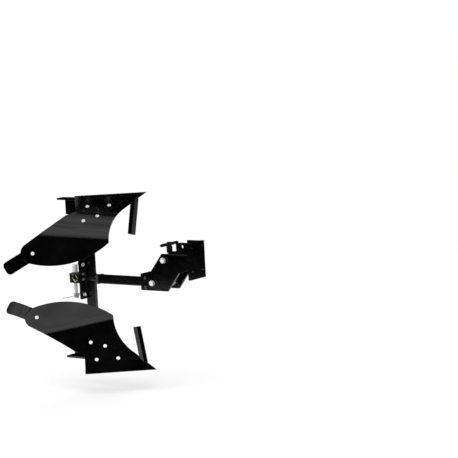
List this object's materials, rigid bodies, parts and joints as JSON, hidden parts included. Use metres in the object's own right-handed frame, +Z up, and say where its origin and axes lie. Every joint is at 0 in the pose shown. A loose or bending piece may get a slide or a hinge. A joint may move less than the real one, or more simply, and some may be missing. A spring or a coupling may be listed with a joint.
{
  "type": "turn-over plough",
  "caption": "Two-body turn-over plough for a walking tractor, with a rolling post, a sliding latch and a screw for the pitch.",
  "frame": {"origin": "centre of the four hitch plate holes, on the plate's front face", "axes": "+X forward to the tractor, +Y to the left, +Z up"},
  "size_m": [0.6356, 0.3374, 0.63],
  "materials": {
    "black_paint": "gloss",
    "zinc": "satin",
    "screw_zinc": "satin",
    "spring_steel": "satin",
    "steel": "satin",
    "bronze": "satin",
    "olive_zinc": "satin"
  },
  "bodies": {
    "hitch": {"left_cheek": "black_paint", "right_cheek": "black_paint", "mount_plate": "black_paint", "top_strap": "black_paint", "trunnion": "steel", "pivot_bolt": "zinc", "pivot_nut": "zinc", "pivot_washers": "zinc", "upper_bolts": "zinc"},
    "beam": {"beam_tube": "black_paint", "beam_shaft": "steel", "thrust_plate": "zinc", "retaining_washer": "zinc", "retaining_ring": "spring_steel", "beam_head": "black_paint", "head_clamp_screws": "zinc", "tilt_nut": "steel"},
    "rotor": {"hub_sleeve": "black_paint", "front_bush": "bronze", "rear_bush": "bronze", "upper_post": "black_paint", "lower_post": "black_paint", "hub_flange": "black_paint", "latch_plate": "black_paint", "flange_bolts": "zinc", "flange_nuts": "zinc", "flange_screws": "zinc", "latch_block": "olive_zinc", "latch_guide": "zinc", "latch_plug": "zinc", "lower_share": "black_paint", "lower_mouldboard": "black_paint", "lower_tailpiece": "black_paint", "lower_frog": "black_paint", "lower_frog_brace": "black_paint", "lower_landside": "black_paint", "lower_sole": "black_paint", "lower_knife": "black_paint", "lower_stay": "black_paint", "lower_plough_bolts": "zinc", "lower_plough_nuts": "zinc", "upper_share": "black_paint", "upper_mouldboard": "black_paint", "upper_tailpiece": "black_paint", "upper_frog": "black_paint", "upper_frog_brace": "black_paint", "upper_landside": "black_paint", "upper_sole": "black_paint", "upper_knife": "black_paint", "upper_stay": "black_paint", "upper_plough_bolts": "zinc", "upper_plough_nuts": "zinc"},
    "latch": {"latch_rod": "zinc", "latch_nut": "zinc", "latch_spring": "spring_steel"},
    "wire": {"release_wire": "zinc"},
    "pitch_screw": {"tilt_spindle": "screw_zinc", "tilt_boss": "screw_zinc", "tilt_bar": "screw_zinc"}
  },
  "joints": [
    {"name": "pitch", "type": "hinge", "parent": "hitch", "child": "beam", "pos_m": [-0.168, 0, -0.081], "axis": [0, 1, 0], "range_deg": [-4, 4]},
    {"name": "turn_over", "type": "hinge", "parent": "beam", "child": "rotor", "pos_m": [-0.466, 0, -0.084], "axis": [-1, 0, 0], "range_deg": [0, 180]},
    {"name": "latch_slide", "type": "slide", "parent": "rotor", "child": "latch", "axis": [0, 0, -1], "range_m": [0, 0.011], "deforming": ["latch_spring"]},
    {"name": "wire_swing", "type": "hinge", "parent": "latch", "child": "wire", "pos_m": [-0.547, 0, -0.1527], "axis": [0, 0, 1], "range_deg": [-60, 60]},
    {"name": "screw_turn", "type": "hinge", "parent": "hitch", "child": "pitch_screw", "pos_m": [-0.116, 0, 0], "axis": [0, 0, 1], "range_deg": [-750, 750]}
  ],
  "couplings": [
    {"joint": "screw_turn", "follows": "pitch", "ratio": 186.7}
  ]
}
